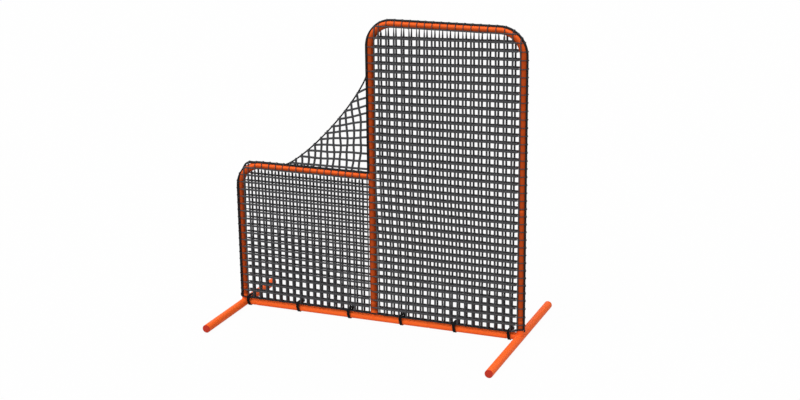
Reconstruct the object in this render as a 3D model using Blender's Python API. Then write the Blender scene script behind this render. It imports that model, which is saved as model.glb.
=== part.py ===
"""L screen: a knock-down tube frame with a pillowcase net, in metres, +Z up.

The frame stands in the XZ plane, with the low wing at -X. The origin is on the ground.
The bungee balls are behind the frame, on the +Y side.
"""
from math import cos, pi, sin, sqrt, tan

import bmesh
import bpy
from mathutils import Matrix, Vector

# Tube
TUBE_RADIUS = 0.02225
TUBE_WALL = 0.0016
FOOT_RADIUS = 0.0240
TUBE_SIDES = 16
BEND_RADIUS = 0.135
BEND_STEPS = 6

# Frame, measured between tube axes
FRAME_HEIGHT = 1.785
WING_HEIGHT = 0.880
WING_WIDTH = 0.863
TALL_WIDTH = 0.913
BAR_RISE = 0.0055
RIGHT_FOOT_REACH = 0.571
LEFT_FOOT_FRONT = 0.507
LEFT_FOOT_BACK = 0.375

# Slip joints: a swaged end slides into the next tube, whose rim stops short of the shoulder
SLIP_CLEARANCE = 0.0004
SWAGE_LENGTH = 0.072
SWAGE_TAPER = 0.008
NECK = 0.012
UPRIGHT_STUB = 0.098
BAR_STUB = 0.070
WING_STUB = 0.070
CORNER_LEG = 0.060
BAR_SPLIT = 0.355
RIM_DROP = 0.107
WELD_EASE = 0.0004
VENT_RADIUS = 0.0030

# Spring button in each slip joint
BUTTON_RADIUS = 0.0040
BUTTON_CLEARANCE = 0.0003
BUTTON_PROUD = 0.0040
BUTTON_DOME = 0.0016
BUTTON_FLANGE_RADIUS = 0.0055
BUTTON_FLANGE_HEIGHT = 0.0020
BUTTON_INSET = 0.028
BUTTON_SIDES = 12
SPRING_THICKNESS = 0.0008
SPRING_WIDTH = 0.0054
SPRING_REACH = 0.030
SPRING_TOE = 0.007
SPRING_HEEL = 0.010
SPRING_BEND = 0.0060
SPRING_BEND_STEPS = 5

# End plugs of the feet
PLUG_FLANGE = 0.0025
PLUG_BARREL = 0.018
PLUG_CLEARANCE = 0.0003
PLUG_EASE = 0.0008
PLUG_CROWN = 0.0012

# Net, drawn with a coarse mesh
SEAT_GAP = 0.0003
NET_STRAND = 0.0045
FOLD_STEPS = 4
FOLD_CLEAR = 0.050
TALL_COLUMNS = 3
TALL_LOWER_ROWS = 4
TALL_UPPER_ROWS = 4
WING_COLUMNS = 4
WING_ROWS = 3
CORNER_STEPS = 3
ROPE_RADIUS = 0.0040
ROPE_SIDES = 8
HEM_RISE = 0.037
WEB_WIDTH = 0.510
WEB_HEIGHT = 0.555
WEB_CELLS = 6
WEB_HOLLOW_SHARE = 0.83

# Ball bungees
BUNGEE_COUNT = 6
BUNGEE_LEFT_INSET = 0.034
BUNGEE_RIGHT_INSET = 0.062
BUNGEE_CORD_RADIUS = 0.0022
BUNGEE_STRAND_OFFSET = 0.0060
BUNGEE_TANGENTS = 12
BUNGEE_TURN_STEPS = 3
BUNGEE_CORD_SIDES = 6
BALL_RADIUS = 0.0130
BALL_RISE = 0.028
BALL_HOLD = 0.0065
BALL_SEGMENTS = 12
BALL_RINGS = 8

# One overrun serves every cut
OVERRUN = 0.004
SMOOTH_ANGLE = pi / 5

# Derived sizes
HALF_FACET = pi / TUBE_SIDES
FLAT = cos(HALF_FACET)
TUBE_BORE = TUBE_RADIUS - TUBE_WALL
SWAGE_RADIUS = TUBE_BORE - SLIP_CLEARANCE
SWAGE_BORE = SWAGE_RADIUS - TUBE_WALL
FLANGE_OVERHANG = BUTTON_FLANGE_RADIUS - SWAGE_BORE * sin(HALF_FACET)
FLANGE_DROP = FLANGE_OVERHANG * tan(2 * HALF_FACET) + SEAT_GAP
STUB_RADIUS = TUBE_RADIUS - WELD_EASE
STUB_BORE = STUB_RADIUS - TUBE_WALL
LEFT_X = -(WING_WIDTH + TALL_WIDTH) / 2
MIDDLE_X = LEFT_X + WING_WIDTH
RIGHT_X = MIDDLE_X + TALL_WIDTH
FOOT_Z = FOOT_RADIUS * FLAT
BAR_Z = FOOT_Z + BAR_RISE
WING_Z = FOOT_Z + WING_HEIGHT
TOP_Z = FOOT_Z + FRAME_HEIGHT
STUB_TOP_Z = FOOT_Z + UPRIGHT_STUB
UPRIGHT_RIM_Z = STUB_TOP_Z + NECK
UPPER_RIM_Z = WING_Z - RIM_DROP
LOWER_SHOULDER_Z = UPPER_RIM_Z - NECK
NET_REACH = (TUBE_RADIUS + SEAT_GAP + NET_STRAND / 2) / cos(pi / 2 / FOLD_STEPS)
FOLD_OUTSIDE = NET_REACH + NET_STRAND / 2
ROPE_Z = BAR_Z + HEM_RISE
HEM_Z = ROPE_Z + ROPE_RADIUS + SEAT_GAP + NET_STRAND / 2

X = Vector((1, 0, 0))
Y = Vector((0, 1, 0))
Z = Vector((0, 0, 1))


def clear_scene():
    for obj in list(bpy.data.objects):
        bpy.data.objects.remove(obj, do_unlink=True)


def material(name, colour, roughness, metallic=0.0):
    """A Principled material in plain colour."""
    made = bpy.data.materials.new(name)
    made.use_nodes = True
    shader = made.node_tree.nodes["Principled BSDF"]
    shader.inputs["Base Color"].default_value = (*colour, 1)
    shader.inputs["Roughness"].default_value = roughness
    shader.inputs["Metallic"].default_value = metallic
    return made


def frame_paint(name):
    return material(name, (0.86, 0.14, 0.015), 0.38)


def black_net(name):
    return material(name, (0.010, 0.010, 0.012), 0.80)


def finish(name, mesh, finish_material, origin=None, smooth=True):
    """Make the object of a bmesh, with its origin at a point of the frame."""
    data = bpy.data.meshes.new(name)
    bmesh.ops.recalc_face_normals(mesh, faces=mesh.faces)
    mesh.to_mesh(data)
    mesh.free()
    if origin is not None:
        data.transform(Matrix.Translation(-origin))
    obj = bpy.data.objects.new(name, data)
    if origin is not None:
        obj.location = origin
    data.materials.append(finish_material)
    if smooth:
        round_over(obj)
    bpy.context.scene.collection.objects.link(obj)
    obj.parent = SCREEN
    return obj


def round_over(obj):
    obj.data.shade_smooth()
    obj.data.set_sharp_from_angle(angle=SMOOTH_ANGLE)


def boolean(target, tool, operation):
    """Union with, or cut by, a tool that is used up."""
    modifier = target.modifiers.new("Boolean", "BOOLEAN")
    modifier.operation = operation
    modifier.solver = "EXACT"
    modifier.object = tool
    bpy.context.view_layer.update()
    graph = bpy.context.evaluated_depsgraph_get()
    cut = bpy.data.meshes.new_from_object(target.evaluated_get(graph))
    target.modifiers.clear()
    target.data = cut
    bpy.data.objects.remove(tool, do_unlink=True)
    round_over(target)


def ring(mesh, centre, along, side, radius, sides=TUBE_SIDES):
    """A ring of points square to a direction, with flats facing the side direction."""
    across = side.cross(along)
    points = []
    for index in range(sides):
        turn = (index + 0.5) * 2 * pi / sides
        offset = side * cos(turn) + across * sin(turn)
        points.append(mesh.verts.new(centre + offset * radius))
    return points


def join_rings(mesh, rings, closed=False):
    last = len(rings) if closed else len(rings) - 1
    for index in range(last):
        here, there = rings[index], rings[(index + 1) % len(rings)]
        count = len(here)
        for point in range(count):
            following = (point + 1) % count
            mesh.faces.new((here[point], here[following], there[following], there[point]))


# A station of a tube is its centre, its direction, its outer radius and its bore radius.

def plain_end(point, along, radius=TUBE_RADIUS):
    return [(point, along, radius, radius - TUBE_WALL)]


def swaged_end(shoulder, along):
    """The shoulder, the taper and the straight nose of a swaged end."""
    taper = shoulder + along * SWAGE_TAPER
    nose = shoulder + along * SWAGE_LENGTH
    return [
        (shoulder, along, TUBE_RADIUS, TUBE_BORE),
        (taper, along, SWAGE_RADIUS, SWAGE_BORE),
        (nose, along, SWAGE_RADIUS, SWAGE_BORE),
    ]


def bend(corner, before, after):
    """Stations round a bend from one direction to another that is square to it."""
    centre = corner - before * BEND_RADIUS + after * BEND_RADIUS
    stations = []
    for step in range(BEND_STEPS + 1):
        turn = step * pi / 2 / BEND_STEPS
        point = centre - after * BEND_RADIUS * cos(turn) + before * BEND_RADIUS * sin(turn)
        along = before * cos(turn) + after * sin(turn)
        stations.append((point, along, TUBE_RADIUS, TUBE_BORE))
    return stations


def hollow_tube(stations, side):
    mesh = bmesh.new()
    outer = [ring(mesh, point, along, side, radius) for point, along, radius, _ in stations]
    inner = [ring(mesh, point, along, side, bore) for point, along, _, bore in stations]
    join_rings(mesh, outer + inner[::-1], closed=True)
    return mesh


def solid_sweep(stations, side):
    mesh = bmesh.new()
    rings = [ring(mesh, point, along, side, radius) for point, along, radius in stations]
    join_rings(mesh, rings)
    mesh.faces.new(rings[0][::-1])
    mesh.faces.new(rings[-1])
    return mesh


def outside(stations):
    return [(point, along, radius) for point, along, radius, _ in stations]


def inside(stations):
    """The bore of a tube as a solid that runs past both ends."""
    bore = [(point, along, radius) for point, along, _, radius in stations]
    first, last = bore[0], bore[-1]
    before = (first[0] - first[1] * OVERRUN, first[1], first[2])
    after = (last[0] + last[1] * OVERRUN, last[1], last[2])
    return [before, *bore, after]


def stub(root, shoulder, along):
    """A short tube from the axis of the tube it is welded to, swaged at its free end."""
    stations = swaged_end(shoulder, along)
    start = (root, along, STUB_RADIUS, STUB_BORE)
    shoulder_station = (shoulder, along, STUB_RADIUS, STUB_BORE)
    return [start, shoulder_station, *stations[1:]]


def temporary(mesh):
    """An object that only serves a cut or a union."""
    return finish("tool", mesh, STEEL, smooth=False)


def welded_tube(name, stations, side, stubs):
    """A main tube with stubs welded on, all hollow, whose bores stop at the main tube's wall."""
    origin = stations[0][0]
    body = finish(name, solid_sweep(outside(stations), side), frame_paint(name), origin)
    for stations_of_stub, stub_side in stubs:
        tool = temporary(solid_sweep(outside(stations_of_stub), stub_side))
        boolean(body, tool, "UNION")
    for stations_of_stub, stub_side in stubs:
        bore = temporary(solid_sweep(inside(stations_of_stub)[1:], stub_side))
        wall = [(point, along, radius - TUBE_WALL / 2) for point, along, radius in outside(stations)]
        saddle = temporary(solid_sweep(wall, side))
        boolean(bore, saddle, "DIFFERENCE")
        boolean(body, bore, "DIFFERENCE")
    boolean(body, temporary(solid_sweep(inside(stations), side)), "DIFFERENCE")
    return body


def drill(obj, centre, outward, radius, reach):
    """A round hole from the tube's axis out through one wall."""
    side = Y if abs(outward.y) < abs(outward.x) + abs(outward.z) else X
    stations = [(centre, outward, radius), (centre + outward * reach, outward, radius)]
    mesh = bmesh.new()
    rings = [ring(mesh, point, along, side, size, BUTTON_SIDES) for point, along, size in stations]
    join_rings(mesh, rings)
    mesh.faces.new(rings[0][::-1])
    mesh.faces.new(rings[-1])
    boolean(obj, temporary(mesh), "DIFFERENCE")


# Frame tubes

def make_foot(name, x, front, back, inward):
    """A foot tube with its upright stub, its bar stub and a vent hole beside the welds."""
    start = Vector((x, -front, FOOT_Z))
    end = Vector((x, back, FOOT_Z))
    crossing = Vector((x, 0, FOOT_Z))
    bar_crossing = Vector((x, 0, BAR_Z))
    upright = stub(crossing, crossing + Z * UPRIGHT_STUB, Z)
    bar = stub(bar_crossing, bar_crossing + inward * BAR_STUB, inward)
    stations = plain_end(start, Y, FOOT_RADIUS) + plain_end(end, Y, FOOT_RADIUS)
    foot = welded_tube(name, stations, X, [(upright, Y), (bar, Y)])
    slant = (Z - inward).normalized()
    drill(foot, crossing - Y * (TUBE_RADIUS + VENT_RADIUS + TUBE_WALL), slant, VENT_RADIUS,
          FOOT_RADIUS + OVERRUN)
    return foot


def make_bottom_bar_left():
    start = Vector((LEFT_X + BAR_STUB + NECK, 0, BAR_Z))
    shoulder = Vector((MIDDLE_X + BAR_SPLIT - NECK, 0, BAR_Z))
    crossing = Vector((MIDDLE_X, 0, BAR_Z))
    upright = stub(crossing, Vector((MIDDLE_X, 0, STUB_TOP_Z)), Z)
    stations = plain_end(start, X) + swaged_end(shoulder, X)
    return welded_tube("bottom_bar_left", stations, Y, [(upright, Y)])


def make_straight_tube(name, start, end):
    along = (end - start).normalized()
    mesh = hollow_tube(plain_end(start, along) + plain_end(end, along), Y)
    return finish(name, mesh, frame_paint(name), start)


def make_lower_tube(name, x):
    """A lower upright: open at the foot, swaged at the top."""
    start = Vector((x, 0, UPRIGHT_RIM_Z))
    shoulder = Vector((x, 0, LOWER_SHOULDER_Z))
    mesh = hollow_tube(plain_end(start, Z) + swaged_end(shoulder, Z), Y)
    return finish(name, mesh, frame_paint(name), start)


def corner_stations(start, corner, after):
    """From an open lower end, up, round the corner and out to a swaged end."""
    shoulder = corner + after * (BEND_RADIUS + CORNER_LEG)
    return plain_end(start, Z) + bend(corner, Z, after) + swaged_end(shoulder, after)


def make_corner_tube(name, x, start_z, corner_z, after):
    start = Vector((x, 0, start_z))
    mesh = hollow_tube(corner_stations(start, Vector((x, 0, corner_z)), after), Y)
    return finish(name, mesh, frame_paint(name), start)


def make_mid_upper_tube():
    start = Vector((MIDDLE_X, 0, UPPER_RIM_Z))
    corner = Vector((MIDDLE_X, 0, TOP_Z))
    crossing = Vector((MIDDLE_X, 0, WING_Z))
    wing = stub(crossing, crossing - X * WING_STUB, -X)
    return welded_tube("mid_upper_tube", corner_stations(start, corner, X), Y, [(wing, Y)])


# Spring buttons

def lathe(profile, sides):
    """A solid turned about +Z from (radius, height) pairs, whose ends lie on the axis."""
    mesh = bmesh.new()
    bottom = mesh.verts.new((0, 0, profile[0][1]))
    top = mesh.verts.new((0, 0, profile[-1][1]))
    rings = []
    for radius, height in profile[1:-1]:
        rings.append(ring(mesh, Z * height, Z, X, radius, sides))
    join_rings(mesh, rings)
    for index in range(sides):
        following = (index + 1) % sides
        mesh.faces.new((bottom, rings[0][following], rings[0][index]))
        mesh.faces.new((top, rings[-1][index], rings[-1][following]))
    return mesh


def button_profile():
    flange_top = SWAGE_BORE * FLAT - FLANGE_DROP
    flange_bottom = flange_top - BUTTON_FLANGE_HEIGHT
    crown = TUBE_RADIUS + BUTTON_PROUD
    rim = crown - BUTTON_DOME
    shoulder = crown - BUTTON_DOME * (1 - sin(pi / 4))
    return [
        (0, flange_bottom),
        (BUTTON_FLANGE_RADIUS, flange_bottom),
        (BUTTON_FLANGE_RADIUS, flange_top),
        (BUTTON_RADIUS, flange_top),
        (BUTTON_RADIUS, rim),
        (BUTTON_RADIUS * cos(pi / 4), shoulder),
        (0, crown),
    ]


def spring_path():
    """Centre line of the leaf spring, along the tube and out towards the button."""
    underside = button_profile()[0][1]
    upper = underside - SEAT_GAP - SPRING_THICKNESS / 2
    lower = -(SWAGE_BORE * FLAT - SEAT_GAP - SPRING_THICKNESS / 2)
    path = [(SPRING_TOE, upper), (-BUTTON_RADIUS, upper)]
    for step in range(SPRING_BEND_STEPS + 1):
        turn = pi / 2 + step * pi / SPRING_BEND_STEPS
        along = -SPRING_REACH + SPRING_BEND + SPRING_BEND * cos(turn)
        path.append((along, SPRING_BEND * sin(turn)))
    path += [(-BUTTON_RADIUS, lower), (SPRING_HEEL, lower)]
    return [Vector((along, 0, out)) for along, out in path]


def make_spring_mesh():
    """A flat strip of even thickness bent along the path."""
    path = spring_path()
    mesh = bmesh.new()
    rings = []
    for index, point in enumerate(path):
        before = path[max(index - 1, 0)]
        after = path[min(index + 1, len(path) - 1)]
        into = (point - before).normalized() if index else (after - point).normalized()
        out = (after - point).normalized() if index < len(path) - 1 else into
        along = (into + out).normalized()
        square = Y.cross(along) * SPRING_THICKNESS / 2 / along.dot(into)
        wide = Y * SPRING_WIDTH / 2
        corners = (point + square + wide, point + square - wide,
                   point - square - wide, point - square + wide)
        rings.append([mesh.verts.new(corner) for corner in corners])
    join_rings(mesh, rings)
    mesh.faces.new(rings[0][::-1])
    mesh.faces.new(rings[-1])
    return mesh


def facing(along, outward):
    """A turn that lays local X along the tube and local Z out of it."""
    return Matrix((along, outward.cross(along), outward)).transposed().to_quaternion()


def make_button(name, male, female, shoulder, along, outward):
    """Drill both tubes of a slip joint and set its button and leaf spring."""
    centre = shoulder + along * (NECK + BUTTON_INSET)
    for tube in (male, female):
        drill(tube, centre, outward, BUTTON_RADIUS + BUTTON_CLEARANCE, TUBE_RADIUS + OVERRUN)
    button = finish(name + "_button", lathe(button_profile(), BUTTON_SIDES),
                    material(name + "_button", (0.62, 0.62, 0.60), 0.30, 1.0))
    spring = finish(name + "_spring", make_spring_mesh(),
                    material(name + "_spring", (0.35, 0.36, 0.38), 0.35, 1.0))
    for obj in (button, spring):
        obj.location = centre
        obj.rotation_mode = "QUATERNION"
        obj.rotation_quaternion = facing(along, outward)


# End plugs

def make_plug(name, x, y, outward):
    """A plastic plug: a barrel in the tube and a low crowned flange on its end."""
    barrel = FOOT_RADIUS - TUBE_WALL - PLUG_CLEARANCE
    face = SEAT_GAP + PLUG_FLANGE
    stations = [
        (-PLUG_BARREL, barrel - PLUG_EASE),
        (-PLUG_BARREL + PLUG_EASE, barrel),
        (SEAT_GAP, barrel),
        (SEAT_GAP, FOOT_RADIUS),
        (face - PLUG_EASE, FOOT_RADIUS),
        (face, FOOT_RADIUS - PLUG_EASE),
        (face + PLUG_CROWN, FOOT_RADIUS / 2),
    ]
    mouth = Vector((x, y, FOOT_Z))
    sweep = [(mouth + outward * out, outward, radius) for out, radius in stations]
    finish(name, solid_sweep(sweep, X), material(name, (0.42, 0.035, 0.010), 0.45), mouth)


# Net

def between(low, high, count):
    return [low + (high - low) * step / count for step in range(count + 1)]


def wire_net(name, mesh):
    """Strands along every edge of a mesh of cells."""
    obj = finish(name, mesh, black_net(name), smooth=False)
    wire = obj.modifiers.new("Wireframe", "WIREFRAME")
    wire.thickness = NET_STRAND
    wire.offset = 0
    wire.use_even_offset = True
    wire.use_relative_offset = False
    wire.use_replace = True
    wire.use_boundary = True
    return obj


class Pillow:
    """Front and back sheets of net over a tube outline, joined by a fold round the tubes."""

    def __init__(self, xs, zs):
        self.xs = xs
        self.zs = zs
        self.mesh = bmesh.new()
        self.points = {}

    def point(self, key, place):
        if key not in self.points:
            self.points[key] = self.mesh.verts.new(place)
        return self.points[key]

    def sheet_point(self, x, z, face):
        return self.point((round(x, 6), round(z, 6), face), (x, face * NET_REACH, z))

    def sheets(self, corners):
        """All cells of both sheets; a corner cell follows the bend of the tube."""
        for face in (-1, 1):
            for column in range(len(self.xs) - 1):
                for row in range(len(self.zs) - 1):
                    self.cell(column, row, face, corners)

    def cell(self, column, row, face, corners):
        left, right = self.xs[column], self.xs[column + 1]
        low, high = self.zs[row], self.zs[row + 1]
        outline = [(left, low), (right, low), (right, high), (left, high)]
        for arc in corners:
            corner = arc["corner"]
            if corner in outline:
                index = outline.index(corner)
                ordered = arc["points"] if arc["turn"] > 0 else arc["points"][::-1]
                outline[index:index + 1] = ordered
        self.mesh.faces.new([self.sheet_point(x, z, face) for x, z in outline])

    def fold(self, chain):
        """The band of net round the tube, along a chain of axis points and outward normals."""
        previous = None
        for x, z, out_x, out_z in chain:
            strand = []
            for step in range(FOLD_STEPS + 1):
                turn = step * pi / FOLD_STEPS
                out = NET_REACH * sin(turn)
                if step in (0, FOLD_STEPS):
                    strand.append(self.sheet_point(x, z, -1 if step == 0 else 1))
                    continue
                key = (round(x, 6), round(z, 6), "fold", step)
                place = (x + out_x * out, -NET_REACH * cos(turn), z + out_z * out)
                strand.append(self.point(key, place))
            if previous:
                for step in range(FOLD_STEPS):
                    self.mesh.faces.new((previous[step], previous[step + 1],
                                         strand[step + 1], strand[step]))
            previous = strand


def corner_arc(x, z, side):
    """Points that frame a bend; side is 1 for a right corner and -1 for a left one.

    They stand outside the arc, so that every straight strand between them clears the tube.
    """
    centre_x, centre_z = x - side * BEND_RADIUS, z - BEND_RADIUS
    points, chain = [], []
    for step in range(CORNER_STEPS):
        turn = (step + 0.5) * pi / 2 / CORNER_STEPS
        ease = cos(pi / 4 / CORNER_STEPS)
        out_x, out_z = side * cos(turn) / ease, sin(turn) / ease
        place = (centre_x + out_x * BEND_RADIUS, centre_z + out_z * BEND_RADIUS)
        points.append(place)
        chain.append((*place, out_x, out_z))
    return {"corner": (x, z), "points": points, "turn": side, "chain": chain}


def make_tall_net():
    fold_z = WING_Z + FOLD_CLEAR
    inner = between(MIDDLE_X + BEND_RADIUS, RIGHT_X - BEND_RADIUS, TALL_COLUMNS)
    lower = between(HEM_Z, fold_z, TALL_LOWER_ROWS)
    upper = between(fold_z, TOP_Z - BEND_RADIUS, TALL_UPPER_ROWS)
    xs = [MIDDLE_X, *inner, RIGHT_X]
    zs = [*lower, *upper[1:], TOP_Z]
    pillow = Pillow(xs, zs)
    right_arc = corner_arc(RIGHT_X, TOP_Z, 1)
    left_arc = corner_arc(MIDDLE_X, TOP_Z, -1)
    pillow.sheets([right_arc, left_arc])
    right = [(RIGHT_X, z, 1, 0) for z in zs[:-1]]
    top = [(x, TOP_Z, 0, 1) for x in inner[::-1]]
    left_side = [(MIDDLE_X, z, -1, 0) for z in upper[::-1]]
    chain = right + right_arc["chain"] + top + left_arc["chain"][::-1] + left_side
    pillow.fold(chain)
    return wire_net("tall_net", pillow.mesh)


def make_wing_net():
    right = MIDDLE_X - NET_STRAND - SEAT_GAP
    fold_x = MIDDLE_X - FOLD_CLEAR
    inner = between(LEFT_X + BEND_RADIUS, fold_x, WING_COLUMNS)
    rows = between(HEM_Z, WING_Z - BEND_RADIUS, WING_ROWS)
    pillow = Pillow([LEFT_X, *inner, right], [*rows, WING_Z])
    arc = corner_arc(LEFT_X, WING_Z, -1)
    pillow.sheets([arc])
    side = [(LEFT_X, z, -1, 0) for z in rows]
    top = [(x, WING_Z, 0, 1) for x in inner]
    pillow.fold(side + arc["chain"] + top)
    return wire_net("wing_net", pillow.mesh)


def web_corner():
    inset = FOLD_OUTSIDE + SEAT_GAP + NET_STRAND / 2
    return MIDDLE_X - inset, WING_Z + inset


def web_place(column_share, row_share):
    """A place in the inner corner, by shares that run from 0 at the corner to 1 at a far end."""
    corner_x, corner_z = web_corner()
    across = column_share ** (1 / WEB_HOLLOW_SHARE)
    up = row_share ** (1 / WEB_HOLLOW_SHARE)
    return Vector((corner_x - WEB_WIDTH * across, 0, corner_z + WEB_HEIGHT * up))


def make_web_net():
    """The flat web of net in the inner corner, whose hollow edge runs through its knots."""
    mesh = bmesh.new()
    points = {}
    for column in range(WEB_CELLS + 1):
        for row in range(WEB_CELLS + 1 - column):
            place = web_place(column / WEB_CELLS, row / WEB_CELLS)
            points[column, row] = mesh.verts.new(place)
    for column in range(WEB_CELLS):
        for row in range(WEB_CELLS - column):
            cell = [points[column, row], points[column + 1, row], points[column, row + 1]]
            if column + row < WEB_CELLS - 1:
                cell.insert(2, points[column + 1, row + 1])
            mesh.faces.new(cell)
    return wire_net("web_net", mesh)


def rope_mesh(path, side, radius):
    """A rope along a path of straight runs, mitred where it turns."""
    mesh = bmesh.new()
    rings = []
    for index, point in enumerate(path):
        before = path[max(index - 1, 0)]
        after = path[min(index + 1, len(path) - 1)]
        rings.append(ring(mesh, point, (after - before).normalized(), side, radius, ROPE_SIDES))
    join_rings(mesh, rings)
    mesh.faces.new(rings[0][::-1])
    mesh.faces.new(rings[-1])
    return mesh


def make_web_rope():
    """The rope along the hollow edge, laid beside the outer strands."""
    clear = NET_STRAND / 2 + SEAT_GAP + ROPE_RADIUS
    edge = [web_place(column / WEB_CELLS, 1 - column / WEB_CELLS)
            for column in range(WEB_CELLS + 1)]
    path = []
    for index, point in enumerate(edge):
        before, after = edge[max(index - 1, 0)], edge[min(index + 1, WEB_CELLS)]
        inward = (point - before).normalized() if index else (after - point).normalized()
        onward = (after - point).normalized() if index < WEB_CELLS else inward
        along = (inward + onward).normalized()
        path.append(point + Y.cross(along) * clear / along.dot(inward))
    return finish("web_rope", rope_mesh(path, Y, ROPE_RADIUS), black_net("web_rope"), path[0])


def make_hem_rope(name, face):
    y = face * NET_REACH
    path = [Vector((LEFT_X, y, ROPE_Z)), Vector((RIGHT_X, y, ROPE_Z))]
    return finish(name, rope_mesh(path, Y, ROPE_RADIUS), black_net(name), path[0])


# Ball bungees

def bungee_supports():
    """What the cord is stretched round: centre back, centre up and radius, from the bar's axis."""
    clear = SEAT_GAP + BUNGEE_CORD_RADIUS
    strand = NET_STRAND * sin(pi / 4)
    supports = [(0, 0, TUBE_RADIUS + clear)]
    for face in (-1, 1):
        supports.append((face * NET_REACH, ROPE_Z - BAR_Z, ROPE_RADIUS + clear))
        supports.append((face * NET_REACH, HEM_Z - BAR_Z, strand + clear))
    return supports


def tangent_reach(turn):
    return max(y * cos(turn) + z * sin(turn) + radius for y, z, radius in bungee_supports())


def stretched_corner(index):
    """Where two neighbouring tangents of the supports meet."""
    spread = 2 * pi / BUNGEE_TANGENTS
    here, there = index * spread, (index + 1) * spread
    near, far = tangent_reach(here), tangent_reach(there)
    y = (near * sin(there) - far * sin(here)) / sin(spread)
    z = (cos(here) * far - cos(there) * near) / sin(spread)
    return Vector((0, y, z))


def bungee_path():
    """One cord: from under the ball round the bar, a turn under the ball, and back again."""
    back = tangent_reach(0)
    end = Vector((0, back, BALL_RISE + BALL_HOLD))
    turn_start = Vector((0, back, BALL_RISE - BALL_HOLD - BUNGEE_STRAND_OFFSET))
    corners = [stretched_corner(index) for index in range(BUNGEE_TANGENTS)]
    strand = [end, *corners, turn_start]
    offset = X * BUNGEE_STRAND_OFFSET
    path = [point - offset for point in strand]
    for step in range(1, BUNGEE_TURN_STEPS):
        turn = step * pi / BUNGEE_TURN_STEPS
        path.append(turn_start - offset * cos(turn) + Z * BUNGEE_STRAND_OFFSET * sin(turn))
    return path + [point + offset for point in strand[::-1]]


def mitred_sweep(path, radius, sides):
    """A round cord along a path, with each corner's ring in the plane that halves the corner."""
    mesh = bmesh.new()
    rings = []
    side = X
    inward = (path[1] - path[0]).normalized()
    for index, point in enumerate(path):
        onward = inward
        if index < len(path) - 1:
            onward = (path[index + 1] - point).normalized()
        across = inward.cross(side)
        halving = (inward + onward).normalized()
        loop = []
        for number in range(sides):
            angle = (number + 0.5) * 2 * pi / sides
            offset = (side * cos(angle) + across * sin(angle)) * radius
            slide = offset.dot(halving) / inward.dot(halving)
            loop.append(mesh.verts.new(point + offset - inward * slide))
        rings.append(loop)
        side = inward.rotation_difference(onward) @ side
        inward = onward
    join_rings(mesh, rings)
    mesh.faces.new(rings[0][::-1])
    mesh.faces.new(rings[-1])
    return mesh


def make_bungee(index, x):
    """A doubled elastic cord stretched round the bar and both hems, and its ball behind."""
    name = "bungee_%d" % (index + 1)
    centre = Vector((x, 0, BAR_Z))
    cord = mitred_sweep(bungee_path(), BUNGEE_CORD_RADIUS, BUNGEE_CORD_SIDES)
    cord_obj = finish(name + "_cord", cord, material(name + "_cord", (0.015, 0.015, 0.017), 0.70))
    cord_obj.location = centre
    ball = bmesh.new()
    bmesh.ops.create_uvsphere(ball, u_segments=BALL_SEGMENTS, v_segments=BALL_RINGS,
                              radius=BALL_RADIUS)
    obj = finish(name + "_ball", ball, material(name + "_ball", (0.02, 0.02, 0.022), 0.40))
    ball_flat = BALL_RADIUS * cos(pi / BALL_SEGMENTS)
    cord_flat = BUNGEE_CORD_RADIUS * cos(pi / BUNGEE_CORD_SIDES)
    hold = ball_flat + cord_flat + SEAT_GAP
    reach = tangent_reach(0) + sqrt(hold ** 2 - BUNGEE_STRAND_OFFSET ** 2)
    obj.location = centre + Y * reach + Z * BALL_RISE


clear_scene()
SCREEN = bpy.data.objects.new("l_screen", None)
bpy.context.scene.collection.objects.link(SCREEN)
STEEL = material("steel_tool", (0.5, 0.5, 0.5), 0.5)

left_foot = make_foot("left_foot", LEFT_X, LEFT_FOOT_FRONT, LEFT_FOOT_BACK, X)
right_foot = make_foot("right_foot", RIGHT_X, RIGHT_FOOT_REACH, RIGHT_FOOT_REACH, -X)
bottom_left = make_bottom_bar_left()
bottom_right = make_straight_tube("bottom_bar_right", Vector((MIDDLE_X + BAR_SPLIT, 0, BAR_Z)),
                                  Vector((RIGHT_X - BAR_STUB - NECK, 0, BAR_Z)))
left_corner = make_corner_tube("left_corner_tube", LEFT_X, UPRIGHT_RIM_Z, WING_Z, X)
wing_bar = make_straight_tube("wing_bar",
                              Vector((LEFT_X + BEND_RADIUS + CORNER_LEG + NECK, 0, WING_Z)),
                              Vector((MIDDLE_X - WING_STUB - NECK, 0, WING_Z)))
mid_lower = make_lower_tube("mid_lower_tube", MIDDLE_X)
mid_upper = make_mid_upper_tube()
top_bar = make_straight_tube("top_bar",
                             Vector((MIDDLE_X + BEND_RADIUS + CORNER_LEG + NECK, 0, TOP_Z)),
                             Vector((RIGHT_X - BEND_RADIUS - CORNER_LEG - NECK, 0, TOP_Z)))
right_lower = make_lower_tube("right_lower_tube", RIGHT_X)
right_upper = make_corner_tube("right_upper_tube", RIGHT_X, UPPER_RIM_Z, TOP_Z, -X)

leg = BEND_RADIUS + CORNER_LEG
make_button("left_bar", left_foot, bottom_left, Vector((LEFT_X + BAR_STUB, 0, BAR_Z)), X, Y)
make_button("bar_split", bottom_left, bottom_right,
            Vector((MIDDLE_X + BAR_SPLIT - NECK, 0, BAR_Z)), X, Y)
make_button("right_bar", right_foot, bottom_right, Vector((RIGHT_X - BAR_STUB, 0, BAR_Z)), -X, Y)
make_button("left_upright", left_foot, left_corner, Vector((LEFT_X, 0, STUB_TOP_Z)), Z, X)
make_button("mid_upright", bottom_left, mid_lower, Vector((MIDDLE_X, 0, STUB_TOP_Z)), Z, X)
make_button("right_upright", right_foot, right_lower, Vector((RIGHT_X, 0, STUB_TOP_Z)), Z, -X)
make_button("mid_split", mid_lower, mid_upper, Vector((MIDDLE_X, 0, LOWER_SHOULDER_Z)), Z, X)
make_button("right_split", right_lower, right_upper, Vector((RIGHT_X, 0, LOWER_SHOULDER_Z)), Z, -X)
make_button("wing_left", left_corner, wing_bar, Vector((LEFT_X + leg, 0, WING_Z)), X, -Z)
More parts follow.
